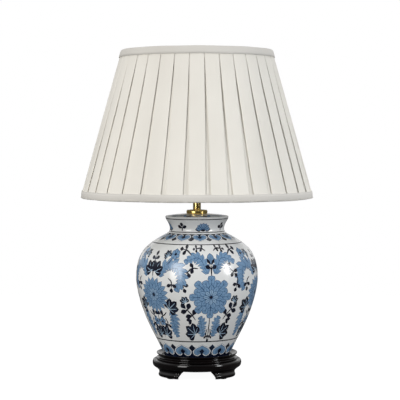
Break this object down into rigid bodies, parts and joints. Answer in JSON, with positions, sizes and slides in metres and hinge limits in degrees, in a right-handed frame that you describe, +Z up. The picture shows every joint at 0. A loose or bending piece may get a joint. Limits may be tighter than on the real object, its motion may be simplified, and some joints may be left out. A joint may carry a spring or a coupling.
{
  "type": "table lamp",
  "caption": "Table lamp: glazed baluster jar on a footed black wood stand, brass stem with a switched lampholder and bulb, and a box-pleated drum shade held on a harp by a finial.",
  "frame": {"origin": "centre of the stand, on the plane of the four felt pads that stand on the table", "axes": "+Z up along the stem, -Y to the front of the lamp, +Y to the cord inlet at the rear, +X to the lamp's right as seen from the front"},
  "size_m": [0.4058, 0.4058, 0.571],
  "materials": {
    "lacquer": "black gloss lacquer",
    "porcelain": "clear glaze over blue painting on white",
    "brass": "polished and lacquered",
    "steel": "zinc plated",
    "shade_fabric": "ivory cloth in box pleats",
    "shade_binding": "ivory bias binding",
    "shade_lining": "smooth white lining",
    "frame_paint": "white powder coat",
    "bulb_housing": "satin white",
    "bulb_globe": "opal white",
    "insulator": "unglazed white",
    "rubber": "matt black",
    "cover_plate": "matt black board",
    "felt": "dark green felt"
  },
  "bodies": {
    "root": {"base_cover_plate": "cover_plate", "brass_collar": "brass", "brass_tube": "brass", "centre_contact": "brass", "clamp_nut": "steel", "clamp_washer": "steel", "cord_inlet_bush": "rubber", "cover_screw_1": "steel", "cover_screw_2": "steel", "cover_screw_3": "steel", "felt_pad_front_left": "felt", "felt_pad_front_right": "felt", "felt_pad_rear_left": "felt", "felt_pad_rear_right": "felt", "harp": "brass", "harp_saddle": "brass", "harp_stud": "brass", "jar_cap": "porcelain", "jar_gasket": "rubber", "lampholder_barrel": "brass", "lampholder_cap": "brass", "lampholder_core": "insulator", "porcelain_jar": "porcelain", "screw_shell": "brass", "stand_disc": "lacquer", "stand_foot_front_left": "lacquer", "stand_foot_front_right": "lacquer", "stand_foot_rear_left": "lacquer", "stand_foot_rear_right": "lacquer", "threaded_rod": "steel"},
    "shade": {"bottom_binding": "shade_binding", "bottom_ring": "frame_paint", "frame_strut_1": "frame_paint", "frame_strut_2": "frame_paint", "frame_strut_3": "frame_paint", "frame_strut_4": "frame_paint", "frame_strut_5": "frame_paint", "frame_strut_6": "frame_paint", "frame_strut_7": "frame_paint", "frame_strut_8": "frame_paint", "pleated_cover": "shade_fabric", "shade_lining": "shade_lining", "spider_arm_1": "brass", "spider_arm_2": "brass", "spider_arm_3": "brass", "spider_hub": "brass", "top_binding": "shade_binding", "top_ring": "frame_paint"},
    "bulb": {"bulb_globe": "bulb_globe", "bulb_housing": "bulb_housing", "bulb_screw_cap": "steel"},
    "finial": {"finial": "brass"},
    "switch": {"switch_bar": "brass"},
    "sleeve_left": {"harp_sleeve_left": "brass"},
    "sleeve_right": {"harp_sleeve_right": "brass"}
  },
  "joints": [
    {"name": "shade_turn", "type": "hinge", "parent": "root", "child": "shade", "pos_m": [0, 0, 0.547], "axis": [0, 0, 1], "continuous": true},
    {"name": "finial_turn", "type": "hinge", "parent": "root", "child": "finial", "pos_m": [0, 0, 0.558], "axis": [0, 0, 1], "continuous": true},
    {"name": "bulb_turn", "type": "hinge", "parent": "root", "child": "bulb", "pos_m": [0, 0, 0.365], "axis": [0, 0, 1], "continuous": true},
    {"name": "switch_push", "type": "slide", "parent": "root", "child": "switch", "axis": [0, 1, 0], "range_m": [0, 0.006]},
    {"name": "sleeve_left_lift", "type": "slide", "parent": "root", "child": "sleeve_left", "axis": [0, 0, 1], "range_m": [0, 0.01]},
    {"name": "sleeve_right_lift", "type": "slide", "parent": "root", "child": "sleeve_right", "axis": [0, 0, 1], "range_m": [0, 0.01]}
  ]
}
